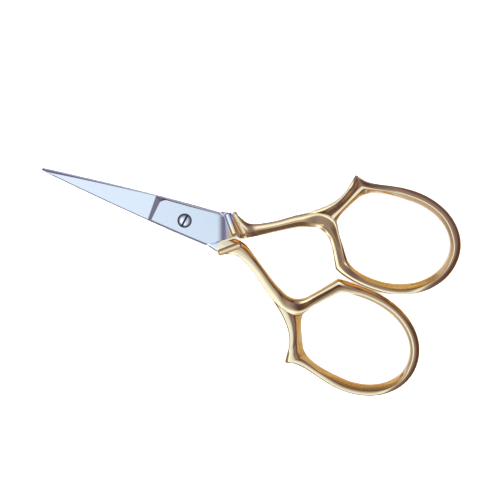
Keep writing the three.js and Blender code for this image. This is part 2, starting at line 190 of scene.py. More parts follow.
def blade_rings(side):
    """Cross-sections along x, lying on the mating face. Each runs from the spine's inner chamfer across the
    hollow mating face to the cutting edge, up the bevel, over the face and down the spine's outer chamfer."""
    ground = np.linspace(-BLADE_LENGTH, SHOULDER_X, GROUND_STATIONS)
    corner = FLAT_X + np.array(CORNER_STATIONS)
    flat = np.linspace(FLAT_X + CORNER_LENGTH, BORDER_X, FLAT_STATIONS)
    ramp = np.linspace(BORDER_X, BORDER_X + BORDER_RAMP, RAMP_STATIONS)[1:]
    x = np.concatenate([ground, corner, flat, ramp, [LAP_END_X]])

    grown = between(-BLADE_LENGTH, SHOULDER_X, x)
    on_flat = between(SHOULDER_X, FLAT_X, x)
    to_heel = between(-BLADE_LENGTH, HEEL_X, x)
    spine = TIP_SPINE + (HEEL_SPINE - TIP_SPINE) * to_heel + 4 * SPINE_BULGE * to_heel * (1 - to_heel)
    edge = TIP_EDGE + (SHOULDER_EDGE - TIP_EDGE) * grown
    edge = edge + (HEEL_EDGE - SHOULDER_EDGE) * between(SHOULDER_X, HEEL_X, x)

    thickness = TIP_THICKNESS + (GROUND_THICKNESS - TIP_THICKNESS) * grown
    thickness = thickness + (BLADE_THICKNESS - GROUND_THICKNESS) * on_flat
    past_border = np.maximum(x - BORDER_X, 0.0)
    thickness = thickness - RAMP_SLOPE * np.minimum(past_border, BORDER_RAMP) ** 2 / (2 * BORDER_RAMP)
    thickness = thickness - TANG_SLOPE * np.maximum(past_border - BORDER_RAMP, 0.0)

    corner_cut = CORNER_CUT * (1 - between(FLAT_X, FLAT_X + CORNER_LENGTH, x)) ** 2 * on_flat
    flat_bevel = FLAT_BEVEL * on_flat * (1 - between(FLAT_X, BORDER_X, x))
    bevel = EDGE_BEVEL + TIP_BEVEL * (1 - grown) ** 2 + flat_bevel
    bevel = np.minimum(bevel, BEVEL_LIMIT * (edge + spine)) + corner_cut
    drop = BEVEL_SLOPE * bevel
    land = TIP_LAND + LAND_GROWTH * grown
    chamfer = np.minimum(SPINE_CHAMFER + FLAT_CHAMFER * on_flat, CHAMFER_LIMIT * (edge + spine))
    inner_chamfer = TIP_INNER_CHAMFER + (HEEL_INNER_CHAMFER - TIP_INNER_CHAMFER) * to_heel
    inner_slope = TIP_INNER_SLOPE + (HEEL_INNER_SLOPE - TIP_INNER_SLOPE) * to_heel
    shoulder_lean = SHOULDER_LEAN * on_flat * (1 - between(FLAT_X, 0.0, x))
    lean = BORDER_LEAN * between(0.0, BORDER_X, x) - shoulder_lean

    hollow = HOLLOW_DEPTH * np.minimum(grown, 1 - on_flat) * 4 * grown * (HOLLOW_END - grown)
    across = np.linspace(0.0, 1.0, MATING_POINTS)
    mating_y = (inner_chamfer - spine)[:, None] + (edge + spine - inner_chamfer)[:, None] * across
    mating_z = hollow[:, None] * 4 * across * (1 - across)
    y = np.column_stack([-spine, mating_y, edge - land, edge - bevel, chamfer - spine, -spine])
    z = np.column_stack([inner_slope * inner_chamfer, mating_z, thickness - drop, thickness, thickness,
                         thickness - CHAMFER_SLOPE * chamfer])
    return leaned(np.stack([x[:, None] - lean[:, None] * y, y, MATING_Z + z], axis=-1), side)


# The screw's sizes decide the holes: a counterbored one in the front flat, a plain one in the back flat.
HEAD_RADIUS, HEAD_CLEARANCE = 1.35, 0.15
HEAD_HEIGHT, HEAD_SINK = 0.7, 0.03
NECK_RADIUS, THREAD_RADIUS = 0.9, 0.75
BORE_CLEARANCE = 0.05
HEAD_TOP = HALF_THICKNESS - HEAD_SINK
HEAD_SEAT = HEAD_TOP - HEAD_HEIGHT - BORE_CLEARANCE
DRILL_REACH = 20.0
pivot = leaned(np.array([0.0, -PIVOT_OFFSET, 0.0]), 1)[:2]

front_drill = turned("front_drill", [
    [NECK_RADIUS + BORE_CLEARANCE, -DRILL_REACH],
    [NECK_RADIUS + BORE_CLEARANCE, HEAD_SEAT],
    [HEAD_RADIUS + HEAD_CLEARANCE, HEAD_SEAT],
    [HEAD_RADIUS + HEAD_CLEARANCE, DRILL_REACH],
], pivot, 1)
back_drill = turned("back_drill", [
    [THREAD_RADIUS + BORE_CLEARANCE, -DRILL_REACH],
    [THREAD_RADIUS + BORE_CLEARANCE, DRILL_REACH],
], pivot * [1, -1], -1)

lap_end = ((HEEL_X, -LAP_HEEL_Y), (LAP_END_X, 0.0))
blades = {}
for half, side, drill in (("front", 1, front_drill), ("back", -1, back_drill)):
    blade = closed_loft(half + "_blade_piece", placed(blade_rings(side), side))
    lap_corner = side_block(*lap_end, side, LAP_CORNER_LEAN, HALF_THICKNESS - LAP_CORNER)
    for tool in (side_block(*lap_end, side), lap_corner, drill):
        combined(blade, tool, "DIFFERENCE")
    blades[half] = blade


def node(tree, kind, settings=None, **inputs):
    """Adds a shader node. Settings are its own properties, inputs are values or other nodes' outputs."""
    made = tree.nodes.new("ShaderNode" + kind)
    for key, value in (settings or {}).items():
        setattr(made, key, value)
    for key, value in inputs.items():
        socket = made.inputs[key.replace("_", " ")]
        if isinstance(value, bpy.types.NodeSocket):
            tree.links.new(value, socket)
        else:
            socket.default_value = value
    return made


def computed(tree, operation, value, other=None, kind="Math", gives="Value"):
    """One step of arithmetic on a value, or on a place where the kind is VectorMath, with a constant."""
    step = node(tree, kind, {"operation": operation})
    tree.links.new(value, step.inputs[0])
    if other is not None:
        step.inputs[1].default_value = other
    return step.outputs[gives]


def ranged(tree, value, low, high, to_low, to_high):
    """Carries a value from one range to another, eased at both ends."""
    eased = {"interpolation_type": "SMOOTHSTEP"}
    return node(tree, "MapRange", eased, Value=value, From_Min=low, From_Max=high,
                To_Min=to_low, To_Max=to_high).outputs["Result"]


def noise(tree, place, stretch, detail=3.0):
    """Cloudy noise at a place, stretched: waves per metre along x, y and z."""
    scaled = computed(tree, "MULTIPLY", place, stretch, "VectorMath", "Vector")
    return node(tree, "TexNoise", Vector=scaled, Scale=1.0, Detail=detail).outputs["Fac"]


def mixed(tree, share, first, second):
    """A colour between two colours."""
    made = node(tree, "Mix", {"data_type": "RGBA"}, Factor=share)
    for name, colour in (("A", first), ("B", second)):
        if isinstance(colour, bpy.types.NodeSocket):
            tree.links.new(colour, made.inputs[name])
        else:
            made.inputs[name].default_value = (*colour, 1.0)
    return made.outputs["Result"]


def away_from(tree, value, middle):
    """Distance of a value from a middle value."""
    return computed(tree, "ABSOLUTE", computed(tree, "SUBTRACT", value, middle))


def from_pivot(tree, place):
    """Distance from the pivot's axis."""
    axis = tuple(placed(np.array([*pivot, 0.0]), 1))
    offset = computed(tree, "SUBTRACT", place, axis, "VectorMath", "Vector")
    in_plan = computed(tree, "MULTIPLY", offset, (1.0, 1.0, 0.0), "VectorMath", "Vector")
    return computed(tree, "LENGTH", in_plan, None, "VectorMath")


def new_material(name, metallic=1.0):
    """A material, its tree, its shader and the place on the object that it is looked up at."""
    material = bpy.data.materials.new(name)
    material.use_nodes = True
    tree = material.node_tree
    shader = tree.nodes["Principled BSDF"]
    shader.inputs["Metallic"].default_value = metallic
    return material, tree, shader, tree.nodes.new("ShaderNodeTexCoord").outputs["Object"]


def dressed(tree, shader, colour, roughness, relief, relief_height):
    """Gives the shader its colour, its roughness and a relief that raises its surface."""
    bump = node(tree, "Bump", Height=relief, Distance=relief_height, Strength=1.0)
    tree.links.new(colour, shader.inputs["Base Color"])
    tree.links.new(roughness, shader.inputs["Roughness"])
    tree.links.new(bump.outputs["Normal"], shader.inputs["Normal"])


# Bright steel: faintly clouded, with fine polishing lines across it, satin on the mating faces with painted
# shade that makes them darker and bluer, and painted near black in a thin ring round the screw. Noise is
# given in waves per metre, roughness from 0 to 1, and relief in metres.
STEEL_DARK, STEEL_LIGHT = (0.70, 0.725, 0.76), (0.745, 0.76, 0.78)
SATIN_AND_SHADE_STEEL = (0.62, 0.62, 0.66)
COUNTERBORE_BLACK = (0.05, 0.05, 0.06)
STEEL_CLOUDS, STEEL_LINES = (160.0, 240.0, 240.0), (9000.0, 300.0, 300.0)
STEEL_ROUGHNESS, SATIN_ROUGHNESS = 0.06, 0.3
STEEL_RELIEF = 2e-8
SATIN_SHADE_FULL, SATIN_SHADE_NONE = 0.1, 0.16  # distance from the plane between the halves
COUNTERBORE_BLACK_FULL, COUNTERBORE_BLACK_NONE = 1.47, 1.54  # distance from the screw's axis
steel, tree, shader, place = new_material("polished_steel")
parts = node(tree, "SeparateXYZ", Vector=place)
from_middle = away_from(tree, parts.outputs["Z"], HALF_THICKNESS * MM)
# The mating faces are satin, and their colour is darker and bluer as painted shade between the two halves.
inside = ranged(tree, from_middle, SATIN_SHADE_FULL * MM, SATIN_SHADE_NONE * MM, 1.0, 0.0)
# Painted near black in a thin ring round the screw's axis, over the wall of the hole that the head sits in.
near_black = ranged(tree, from_pivot(tree, place), COUNTERBORE_BLACK_FULL * MM, COUNTERBORE_BLACK_NONE * MM, 1.0, 0.0)
colour = mixed(tree, noise(tree, place, STEEL_CLOUDS), STEEL_DARK, STEEL_LIGHT)
colour = mixed(tree, near_black, mixed(tree, inside, colour, SATIN_AND_SHADE_STEEL), COUNTERBORE_BLACK)
roughness = ranged(tree, inside, 0.0, 1.0, STEEL_ROUGHNESS, SATIN_ROUGHNESS)
dressed(tree, shader, colour, roughness, noise(tree, place, STEEL_LINES), STEEL_RELIEF)

# Handles
# The other end of each half: a collar with two raised rings, a slim shank, and the egg-shaped bow whose
# upper arm is a channel that ends in a pointed finial. Drop forged, polished and gold plated.
PLATING_LINE = {"front": ((9.6, 0.0), (9.3, 5.0)), "back": ((8.5, 0.0), (8.5, 5.0))}  # the gold starts here
FIRST_RING, FIRST_RING_WIDTH = ((7.5, 4.05), (10.9, 0.1)), 1.2
SECOND_RING, SECOND_RING_WIDTH = ((8.9, 4.62), (13.05, 0.95)), 1.4
RING_END, RING_SWELL = 0.7, 0.3  # share of a ring's size at its ends, and what it gains from there
RING_TAPER = 0.5  # over this length
RING_STATIONS = 33
RING_FLOOR = 2 * MATING_Z  # the first ring is only on the outer face, and ends at this height
RING_LEFT = 0.02  # share of its depth below that
TANG_LEVEL = 0.45  # height of the collar under the flat's ramp
STEP_TOP, STEP_SLOPE = 1.64, 0.47  # the collar falls from the first ring to the second
COVE_DEPTH, COVE_START, COVE_END, COVE_RISE = 0.6, 0.4, 2.6, 14.0  # and in a cove from there to the shank
INNER_LEVEL, INNER_REACH = 1.25, 2.5  # height of the collar on the mating side, and how far that reaches
# Both edges of collar, shank and arm in plan, and the knee where they meet the bow: inside and outside, with
# the way on from it.
SHANK_UPPER = [(6.3, 3.88), (9.6, 4.45), (12.9, 3.7), (17.5, 5.85), (22.3, 9.25), (26.2, 10.95),
               (29.3, 11.05), (31.65, 7.95)]
SHANK_LOWER = [(11.2, 0.2), (12.3, 0.0), (14.0, 0.85), (18.6, 3.8), (23.4, 6.7), (26.6, 7.8),
               (28.85, 7.2), (30.6, 5.5)]
KNEE = {"front": ((34.6, 4.2), (33.25, 1.05)), "back": ((35.6, 3.4), (34.5, 0.55))}
KNEE_LEAVE = {"front": ((1.0, -1.35), (1.6, -0.75)), "back": ((0.6, -0.45), (1.0, -0.1))}
FOOT_BAR, BOW_BAR = 2.25, 2.42  # width of the bow's bar at its foot, and at its end and top
FOOT_AIM_IN, FOOT_AIM_OUT = 38.0, 37.4  # where the bow's edges come level on the way to the foot
FOOT_X, END_Y, TOP_X = 41.2, 12.0, 43.7  # where the bow is lowest, furthest along and highest
BOW_CONTACT_Y, BOW_GAP = -0.35, 0.1  # where the two bows meet, and the gap between them
BOW_TOP_Y = 22.35  # the far side of a bow
BOW_FULLNESS = 0.57  # how far each quarter of the bow runs on towards its corner
# The channel in plan: its inside runs from the bow's top down the arm, its outside to the finial and then
# back to the shank. Aims are what a curve leaves towards and arrives from.
ARM_TOP, ARM_FOOT = (32.4, 16.6), (30.3, 9.6)
TOP_AIMS_IN = ((38.2, BOW_TOP_Y - BOW_BAR - 0.1), (33.9, 19.2))
TOP_AIMS_OUT = ((38.0, BOW_TOP_Y), (34.0, 19.6))
ARM_AIMS = ((30.7, 13.33), (29.4, 10.7))
FINIAL_TOP, FINIAL_TIP, FINIAL_BACK = (30.75, 21.08), (30.25, 21.12), (29.97, 19.6)
FINIAL_AIMS = ((30.1, 20.7), (30.0, 20.2))
CHANNEL_BACK = ((29.6, 17.2), (28.5, 14.8), (26.4, 12.4))
CHANNEL_END = (21.6, 8.6)
BACK_FULLER = 0.3  # the back half's channel was left wider, and the end of its bow slimmer
CHANNEL_SHIFT = 0.12  # the front half's channel lies further out than the back half's
CHANNEL_KEYS = 6  # how often the channel's section stands between its tip and its foot
SHANK_STEPS, HEEL_STEPS, QUARTER_STEPS, CHANNEL_STEPS, FINIAL_STEPS = 12, 30, 45, 40, 9
FACETS = 6  # of each face of a bar
FACET_STEPS, WALL_STEPS = 7, 4  # points to each facet, and to each wall between the faces
WEAR = 2  # rounds of smoothing that polish a bar's corners
CREASE_WEAR = 0.15  # share of that in the hollows
LEAST_WALL = 0.1  # share of the half thickness that is left upright at an edge
LEAST_CORE = 0.4  # share of it that is pressed together where the bar is thinned
MOST_PRESSED = 0.9  # share of its height that this core may lose


def section(level, outer_bends, outer_tilts, mating_bends, mating_tilts):
    """A bar's cross-section as one row of numbers: how high it stands as a share of the half thickness, then
    for the outer and for the mating face the five bends as shares of the width, from the first edge to the
    second, and the tilts of the six facets between them in degrees, rising positive."""
    return [level, *outer_bends, *outer_tilts, *mating_bends, *mating_tilts]


COLLAR = section(1.0, (0.06, 0.22, 0.50, 0.78, 0.86), (20, 7, 1, -1, -7, -9),
                 (0.07, 0.20, 0.45, 0.80, 0.90), (28, 2, 0, -3, -54, -58))
NECK = section(1.0, (0.20, 0.36, 0.50, 0.62, 0.88), (16, 2, -18, -27, -33, -30),
               (0.20, 0.42, 0.55, 0.68, 0.82), (4, 0, -6, -8, -50, -55))
SHANK = section(1.0, (0.22, 0.38, 0.57, 0.58, 0.90), (16, 2, -19, -27, -33, -50),
                (0.42, 0.52, 0.70, 0.84, 0.92), (2, -6, -13, -41, -46, -52))
FORK = section(1.0, (0.11, 0.19, 0.77, 0.78, 0.97), (3, -17, -25, 18, -9, -25),
               (0.22, 0.32, 0.50, 0.72, 0.86), (4, -9, -15, -15, -41, -46))
EYE = section(1.0, (0.17, 0.24, 0.62, 0.86, 0.97), (12, -6, -26, 18, -9, -25),
              (0.23, 0.28, 0.34, 0.70, 0.87), (16, 1, -14, -33, 0, -50))
ARM = section(1.0, (0.16, 0.24, 0.46, 0.73, 0.95), (11, -22, -27, 18, -9, -28),
              (0.01, 0.14, 0.34, 0.64, 0.82), (16, -5, -18, -33, 2, -48))
CORNER = section(1.0, (0.20, 0.21, 0.32, 0.70, 0.90), (30, -10, -25, 18, -9, -32),
                 (0.01, 0.17, 0.38, 0.58, 0.80), (42, -8, -19, -33, 2, -46))
BOW_HEEL = section(1.0, (0.26, 0.27, 0.28, 0.72, 0.87), (46, 45, 24, 27, -9, -34),
                   (0.01, 0.15, 0.36, 0.52, 0.68), (42, 6, -12, -22, -18, -46))
BOW_FOOT = section(1.0, (0.22, 0.46, 0.47, 0.72, 0.88), (45, 45, 22, 19, -3, -40),
                   (0.21, 0.22, 0.38, 0.66, 0.86), (42, 8, 0, -15, -40, -48))
BOW_RISE = section(1.0, (0.24, 0.55, 0.66, 0.79, 0.96), (46, 45, 21, 15, -1, -14),
                   (0.26, 0.27, 0.44, 0.64, 0.80), (42, 42, 0, -17, -42, -46))
BOW_BEND = section(1.0, (0.20, 0.50, 0.52, 0.56, 0.68), (46, 46, 10, -16, -24, -28),
                   (0.26, 0.27, 0.42, 0.58, 0.70), (42, 42, 1, -17, -27, -31))
BOW_END = section(1.0, (0.36, 0.38, 0.46, 0.60, 0.72), (44, 43, 4, -17, -27, -33),
                  (0.30, 0.32, 0.43, 0.60, 0.72), (43, 42, 2, -16, -26, -30))
BOW_TURN = section(1.0, (0.28, 0.30, 0.39, 0.54, 0.70), (42, 41, 2, -17, -23, -28),
                   (0.30, 0.58, 0.60, 0.64, 0.80), (50, 47, 18, -12, -23, -28))
BOW_TOP = section(1.0, (0.37, 0.38, 0.45, 0.60, 0.74), (43, 30, 4, -16, -22, -28),
                  (0.30, 0.56, 0.70, 0.79, 0.90), (46, 44, 17, 7, 0, -25))
NOTCH = section(1.0, (0.36, 0.42, 0.62, 0.95, 0.96), (42, 5, -13, -22, -24, -27),
                (0.30, 0.50, 0.62, 0.72, 0.85), (46, 44, 15, 4, 0, -20))
HOLLOW_START = section(1.0, (0.30, 0.42, 0.60, 0.86, 0.87), (42, 0, -20, -22, 24, -16),
                       (0.20, 0.36, 0.54, 0.64, 0.84), (48, 43, 18, 5, 0, -24))
TIP = section(1.0, (0.18, 0.37, 0.50, 0.62, 0.82), (42, -4, -30, -33, 25, -6),
              (0.20, 0.38, 0.58, 0.66, 0.82), (50, 44, 20, 5, 0, -24))
CHANNEL = section(1.0, (0.19, 0.38, 0.53, 0.66, 0.83), (44, -8, -30, -33, 27, -6),
                  (0.22, 0.41, 0.66, 0.74, 0.92), (52, 46, 22, 6, 0, -30))
CHANNEL_FOOT = section(0.4, (0.18, 0.42, 0.54, 0.65, 0.85), (30, 0, -20, -20, 20, -4),
                       (0.16, 0.30, 0.54, 0.64, 0.88), (30, 20, 15, 6, -6, -30))
RING = section(0.99, (0.08, 0.30, 0.46, 0.64, 0.90), (45, 4, 0, -14, -25, -46),
               (0.10, 0.34, 0.50, 0.66, 0.90), (40, 18, 14, -12, -20, -50))
DEEP_RING = section(0.99, (0.10, 0.30, 0.42, 0.68, 0.90), (46, 12, 3, -18, -25, -46),
                    (0.10, 0.34, 0.50, 0.66, 0.90), (40, 18, 14, -12, -20, -50))


def smooth_curve(places, steps):
    """A curve through the places (rows of numbers), steps points to each stretch: cubic stretches whose
    slope at a place is that of the line between its neighbours, weighted by the root of the distances."""
    places = np.array(places, dtype=float)
    ghost = np.concatenate([2 * places[:1] - places[1:2], places, 2 * places[-1:] - places[-2:-1]])
    gap = np.sqrt(np.linalg.norm(np.diff(ghost[:, :2], axis=0), axis=1))[:, None]
    before, here, after = gap[:-2], gap[1:-1], gap[2:]
    p0, p1, p2, p3 = ghost[:-3], ghost[1:-2], ghost[2:-1], ghost[3:]
    leave = (p1 - p0) / before - (p2 - p0) / (before + here) + (p2 - p1) / here
    reach = (p2 - p1) / here - (p3 - p1) / (here + after) + (p3 - p2) / after
    leave = (leave * here)[:, None]
    reach = (reach * here)[:, None]
    t = (np.arange(steps) / steps)[None, :, None]
    p1, p2 = p1[:, None], p2[:, None]
    square = 3 * (p2 - p1) - 2 * leave - reach
    cube = 2 * (p1 - p2) + leave + reach
    curve = p1 + leave * t + square * t**2 + cube * t**3
    return np.concatenate([curve.reshape(-1, places.shape[1]), places[-1:]])


def bezier(start, leave, reach, end, steps):
    """A cubic curve from start to end that leaves towards one point and arrives from another."""
    t = np.linspace(0.0, 1.0, steps + 1)[:, None]
    points = [np.array(point, dtype=float) for point in (start, leave, reach, end)]
    weights = [(1 - t) ** 3, 3 * t * (1 - t) ** 2, 3 * t**2 * (1 - t), t**3]
    return sum(weight * point for weight, point in zip(weights, points))


def egg_quarter(start, end, level_first):
    """A quarter of an egg shape: level at one end and upright at the other."""
    dx, dy = BOW_FULLNESS * (end[0] - start[0]), BOW_FULLNESS * (end[1] - start[1])
    if level_first:
        return bezier(start, (start[0] + dx, start[1]), (end[0], end[1] - dy), end, QUARTER_STEPS)
    return bezier(start, (start[0], start[1] + dy), (end[0] - dx, end[1]), end, QUARTER_STEPS)


def blended(keys, count):
    """Rows of numbers eased from each key to the next one, count rows in all."""
    keys = np.array(keys, dtype=float)
    t = np.linspace(0.0, len(keys) - 1.0, count)
    before = np.minimum(t.astype(int), len(keys) - 2)
    share = (t - before)[:, None]
    share = share * share * (3 - 2 * share)
    return keys[before] * (1 - share) + keys[before + 1] * share


def worn(values, wear):
    """Moves each value of a ring towards the middle of its two neighbours, by half of the way times wear."""
    return values + wear * (np.roll(values, 1, axis=1) - 2 * values + np.roll(values, -1, axis=1)) / 4


def forged_rings(first, second, sections, height):
    """Rings of a forged bar between two edges in plan: the facets of both faces are carried along the edges,
    upright walls join the faces there, and then the corners are worn round by averaging neighbouring points.
    The creases in the hollows stay nearly crisp. Where the bar is thinner its faces come down as they are."""
    width = np.linalg.norm(second - first, axis=1)[:, None]
    level = sections[:, :1]
    zero, one = np.zeros_like(level), np.ones_like(level)
    bends, heights, wears = [], [], []
    for start in (1, 2 * FACETS):
        first_tilt = start + FACETS - 1
        across = np.concatenate([zero, sections[:, start:first_tilt], one], axis=1)
        tilts = sections[:, first_tilt:first_tilt + FACETS]
        rise = np.diff(across, axis=1) * width * np.tan(np.radians(tilts))
        up = np.concatenate([zero, np.cumsum(rise, axis=1)], axis=1)
        hollow = np.diff(tilts, axis=1) > 0
        bends.append(across)
        heights.append(level + (up - up.max(axis=1, keepdims=True)) / HALF_THICKNESS)
        wears.append(np.concatenate([one, np.where(hollow, CREASE_WEAR, 1.0), one], axis=1))
    lack = np.maximum(LEAST_WALL - heights[0] - heights[1], 0.0) / 2
    outer_v, mating_v = heights[0] + lack, -(heights[1] + lack)
    corner_u = np.concatenate([bends[0], bends[1][:, ::-1], zero], axis=1)
    corner_v = np.concatenate([outer_v, mating_v[:, ::-1], outer_v[:, :1]], axis=1)
    corner_wear = np.concatenate([wears[0], wears[1][:, ::-1], one], axis=1)

    counts = 2 * ([FACET_STEPS] * FACETS + [WALL_STEPS])
    places = np.concatenate([corner + np.arange(count) / count for corner, count in enumerate(counts)])
    low = places.astype(int)
    share = places - low
    ring_u, ring_v, wear = [values[:, low] * (1 - share) + values[:, low + 1] * share
                            for values in (corner_u, corner_v, corner_wear)]
    for _ in range(WEAR):
        ring_u = worn(ring_u, wear)
        ring_v = worn(ring_v, wear)
    x = first[:, None, 0] + (second - first)[:, None, 0] * ring_u
    y = first[:, None, 1] + (second - first)[:, None, 1] * ring_u
    lowered = HALF_THICKNESS - height(x, y, ring_v > 0)
    core = np.maximum(LEAST_CORE, lowered / HALF_THICKNESS / MOST_PRESSED)
    z = ring_v * HALF_THICKNESS - np.sign(ring_v) * lowered * np.clip(np.abs(ring_v) / core, 0.0, 1.0)
    return np.stack([x, y, z], axis=-1)


def full_height(x, y, outer):
    """Half height of a bar that is as thick as the closed scissors."""
    return np.full_like(x, HALF_THICKNESS)


def beside(x, y, ring):
    """Distance in plan from the middle line of a ring, positive towards the bow."""
    (x0, y0), (x1, y1) = ring
    return ((x - x0) * (y0 - y1) + (y - y0) * (x1 - x0)) / math.hypot(x1 - x0, y1 - y0)


def collar_height(x, y, outer):
    """Half height of the collar and shank. The outer face falls away from each ring towards the bow, first
    in a straight step and then in a cove that rises slowly along the shank. The mating side is thinned."""
    past_first = beside(x, y, FIRST_RING)
    past_second = beside(x, y, SECOND_RING)
    fallen = between(COVE_START, COVE_END, past_second)
    not_risen = 1 - between(COVE_END, COVE_RISE, past_second)
    cove = HALF_THICKNESS - COVE_DEPTH * fallen**2 * (3 - 2 * fallen) * not_risen
    step = np.where(past_first > 0, STEP_TOP - STEP_SLOPE * past_first, TANG_LEVEL)
    faded = np.exp(-((np.maximum(past_second, 0.0) / INNER_REACH) ** 2))
    thinned = (HALF_THICKNESS - INNER_LEVEL) * faded
    return np.where(outer, np.where(past_second > 0, cove, step), HALF_THICKNESS - thinned)


def bow_edge(knee, leave, aim, foot, end, top):
    """One edge of the bow after the knee: a curve down to the foot, then two quarters of an egg."""
    knee = np.array(knee)
    return np.concatenate([
        bezier(knee, knee + leave, (aim, foot[1]), foot, HEEL_STEPS)[1:],
        egg_quarter(foot, end, True)[1:],
        egg_quarter(end, top, False)[1:],
    ])


def bar_edges(half, foot, fuller):
    """Both edges of the bar in plan with its sections, from the collar round the bow to its top."""
    knee_in, knee_out = KNEE[half]
    leave_in, leave_out = KNEE_LEAVE[half]
    upper = smooth_curve([*SHANK_UPPER, knee_in], SHANK_STEPS)
    lower = smooth_curve([(x, max(y, foot)) for x, y in [*SHANK_LOWER, knee_out]], SHANK_STEPS)
    bow_in = bow_edge(knee_in, leave_in, FOOT_AIM_IN, (FOOT_X, foot + FOOT_BAR),
                      (HANDLE_LENGTH - BOW_BAR, END_Y), (TOP_X, BOW_TOP_Y - BOW_BAR))
    bow_out = bow_edge(knee_out, leave_out, FOOT_AIM_OUT, (FOOT_X, foot),
                       (HANDLE_LENGTH - fuller, END_Y), (TOP_X, BOW_TOP_Y))
    shank = blended([COLLAR, COLLAR, NECK, SHANK, SHANK, FORK, EYE, ARM, CORNER], len(upper))
    bow_keys = [CORNER, BOW_HEEL, BOW_FOOT, BOW_RISE, BOW_BEND, BOW_END, BOW_TURN, BOW_TOP, BOW_TOP]
    bow = blended(bow_keys, len(bow_in) + 1)[1:]
    return np.concatenate([upper, bow_in]), np.concatenate([lower, bow_out]), np.concatenate([shank, bow])


def channel_edges(side, fuller):
    """Both edges of the channel with its sections, from the bow's top to the finial and back to the shank."""
    wider = np.array([fuller, 0.0])
    shift = np.array([side * CHANNEL_SHIFT, 0.0])
    arm_top = ARM_TOP + wider
    aims_in = np.array(TOP_AIMS_IN) - [(0.0, fuller / 2), (0.0, fuller)]
    over_in = bezier((TOP_X, BOW_TOP_Y - BOW_BAR), *aims_in, arm_top, CHANNEL_STEPS)
    over_out = np.concatenate([
        bezier((TOP_X, BOW_TOP_Y), *TOP_AIMS_OUT, FINIAL_TOP, CHANNEL_STEPS - FINIAL_STEPS - 1),
        bezier(FINIAL_TIP, *FINIAL_AIMS, FINIAL_BACK, FINIAL_STEPS),
    ])
    down_in = bezier(arm_top, *(np.array(ARM_AIMS) + wider), ARM_FOOT + wider, CHANNEL_STEPS)[1:]
    down_places = [FINIAL_BACK, *(np.array(CHANNEL_BACK) - shift), CHANNEL_END]
    down_out = smooth_curve(down_places, CHANNEL_STEPS // (len(down_places) - 1))[1:]
    over = blended([BOW_TOP, NOTCH, HOLLOW_START, TIP], CHANNEL_STEPS + 1)
    down = blended([TIP, *[CHANNEL] * CHANNEL_KEYS, CHANNEL_FOOT], CHANNEL_STEPS + 1)[1:]
    inside, outside = np.concatenate([over_in, down_in]), np.concatenate([over_out, down_out])
    return inside, outside, np.concatenate([over, down])


def ring_edges(ring, width, profile):
    """Edges of a raised ring across the collar: a straight bar whose two ends taper, also in height."""
    outer, inner = np.array(ring[0]), np.array(ring[1])
    length = np.linalg.norm(inner - outer)
    along = (inner - outer) / length
    across = np.array([-along[1], along[0]]) * width / 2
    distance = np.linspace(0.0, length, RING_STATIONS)
    from_end = np.clip(np.minimum(distance, length - distance) / RING_TAPER, 0.0, 1.0)
    scale = RING_END + RING_SWELL * np.sin(np.pi / 2 * from_end)
    centre = outer + along * distance[:, None]
    sections = np.tile(profile, (RING_STATIONS, 1))
    sections[:, 0] *= scale
    return centre + across * scale[:, None], centre - across * scale[:, None], sections


def finished(piece, material, crease):
    """One material, and smooth shading with a crease where two faces meet at more than so many degrees."""
    mesh = piece.data
    mesh.polygons.foreach_set("use_smooth", np.ones(len(mesh.polygons), dtype=bool))
    mesh.set_sharp_from_angle(angle=math.radians(crease))
    mesh.materials.clear()
    mesh.materials.append(material)


# Gold plate: deep on the facets, with a painted highlight that makes the level faces paler, faint clouds and
# polishing marks.
GOLD_DARK, GOLD_LIGHT = (0.875, 0.60, 0.275), (0.935, 0.68, 0.345)
HIGHLIGHT_GOLD = (0.98, 0.83, 0.54)
HIGHLIGHT_NONE, HIGHLIGHT_FULL, HIGHLIGHT_MOST = 0.95, 1.0, 0.85  # how level a face is, and the most painted highlight that it gets
GOLD_CLOUDS, GOLD_MARKS = (220.0, 220.0, 220.0), (1800.0, 1800.0, 600.0)
GOLD_ROUGHNESS = (0.09, 0.17)
GOLD_RELIEF = 6e-7
NOISE_LOW, NOISE_HIGH = 0.3, 0.7  # nearly all that the noise gives lies between these
gold, tree, shader, place = new_material("gold_plate")
facing = node(tree, "SeparateXYZ", Vector=tree.nodes.new("ShaderNodeNewGeometry").outputs["Normal"])
levelled = away_from(tree, facing.outputs["Z"], 0.0)
# Painted highlight: the more level a face lies, the paler its gold, as where it mirrors the bright sky above.
highlighted = ranged(tree, levelled, HIGHLIGHT_NONE, HIGHLIGHT_FULL, 0.0, HIGHLIGHT_MOST)
marks = noise(tree, place, GOLD_MARKS)
colour = mixed(tree, noise(tree, place, GOLD_CLOUDS), GOLD_DARK, GOLD_LIGHT)
roughness = ranged(tree, marks, NOISE_LOW, NOISE_HIGH, *GOLD_ROUGHNESS)
dressed(tree, shader, mixed(tree, highlighted, colour, HIGHLIGHT_GOLD), roughness, marks, GOLD_RELIEF)

